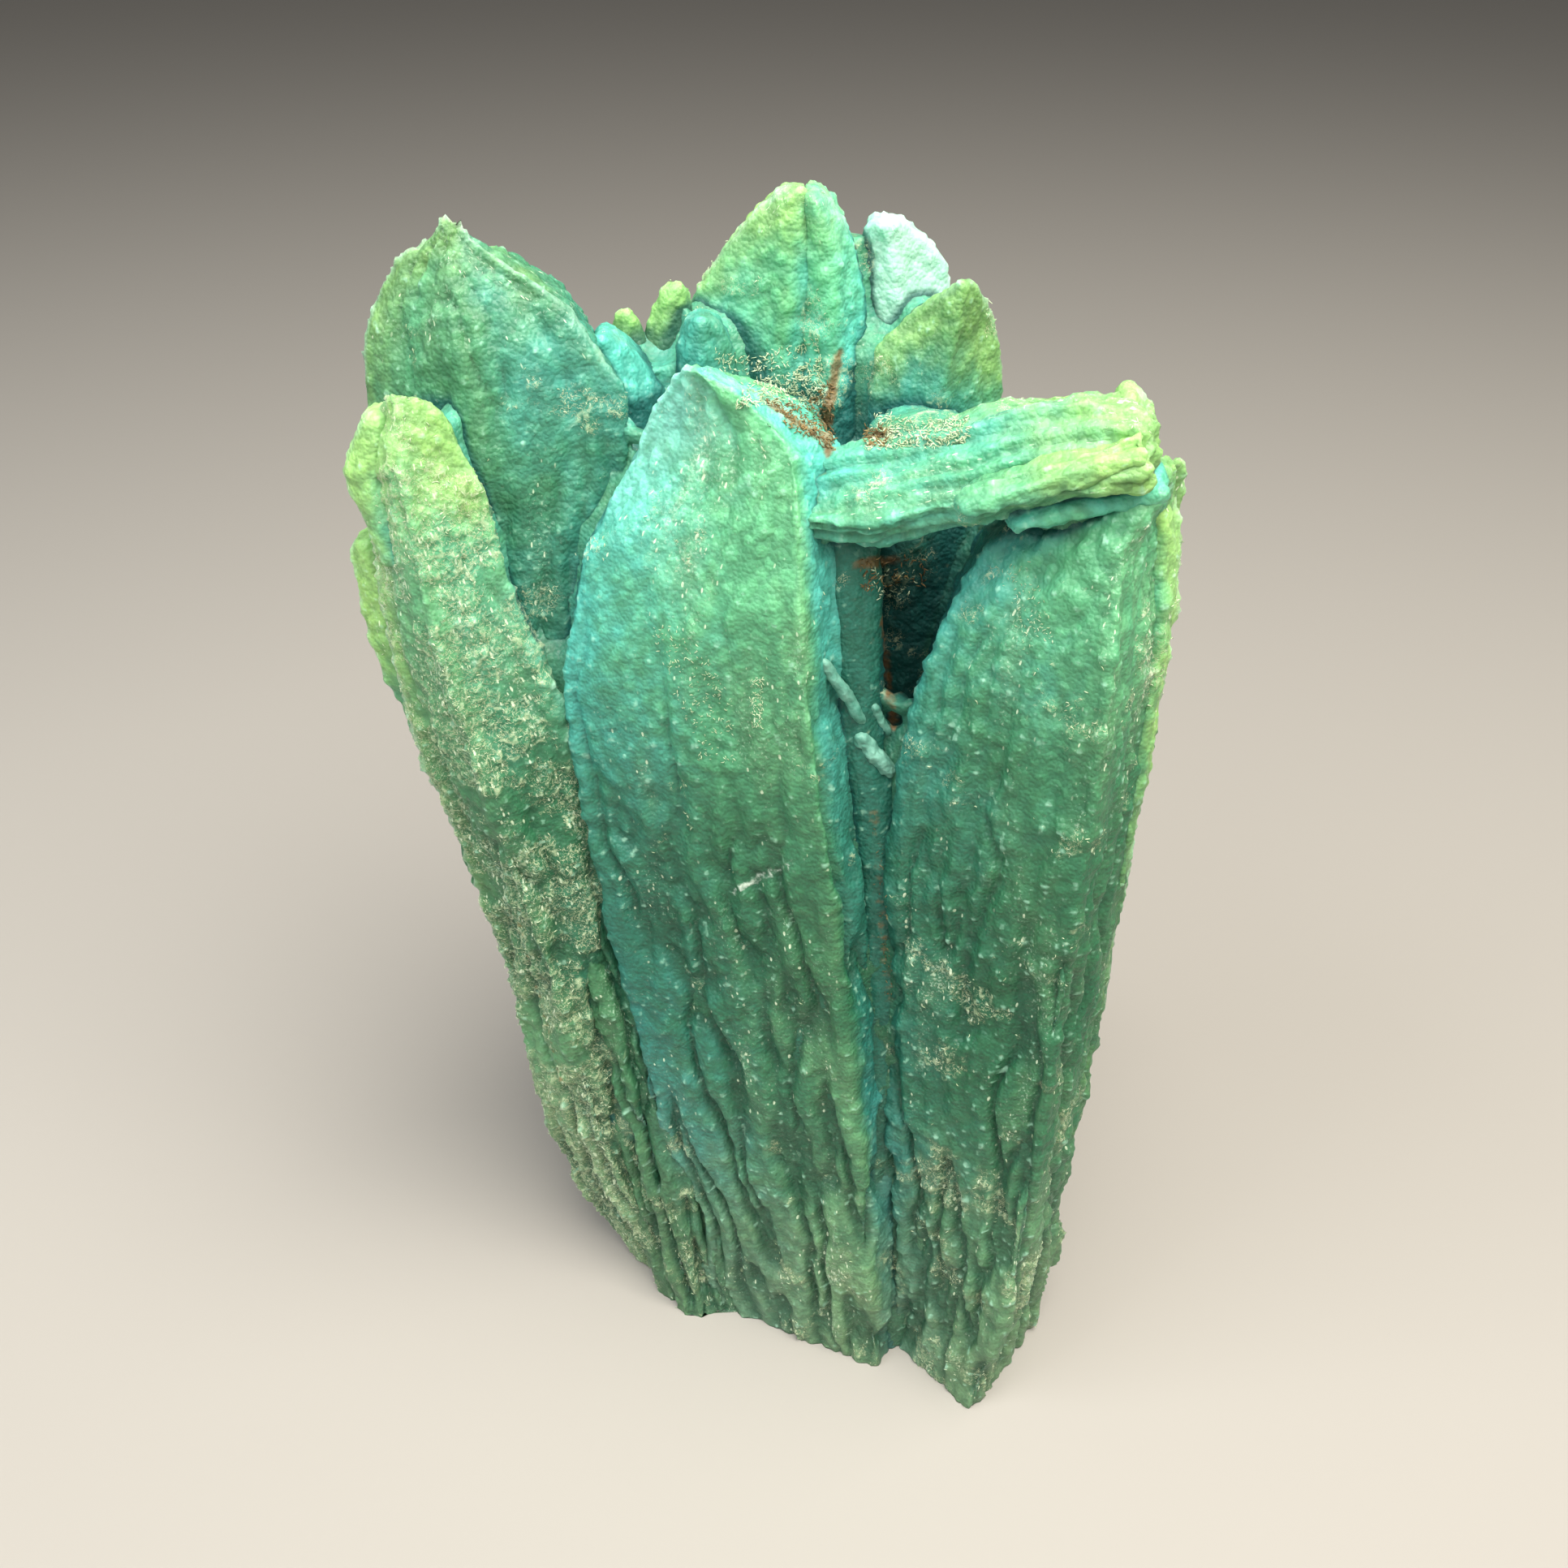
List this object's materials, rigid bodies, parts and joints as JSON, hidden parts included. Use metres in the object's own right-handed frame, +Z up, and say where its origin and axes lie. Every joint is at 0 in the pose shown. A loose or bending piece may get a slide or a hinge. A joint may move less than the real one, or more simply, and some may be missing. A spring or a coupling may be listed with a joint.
{
  "type": "chrysocolla pseudomorph after azurite",
  "caption": "Upright spray of bladed crystals grown together, fanning out from one broken foot, with a short blade lying across the front.",
  "frame": {"origin": "centre of the bounding box, on the plane of the broken foot that the specimen stands on", "axes": "+Z up along the blades, -Y towards the side with the widest blades, +X to the right seen from that side"},
  "size_m": [0.0192, 0.0144, 0.0337],
  "materials": {
    "chrysocolla": "waxy, finely sugary green to blue-green druse, yellow-green on the blade tips"
  },
  "bodies": {
    "root": {"crystal_spray": "chrysocolla"}
  },
  "joints": []
}
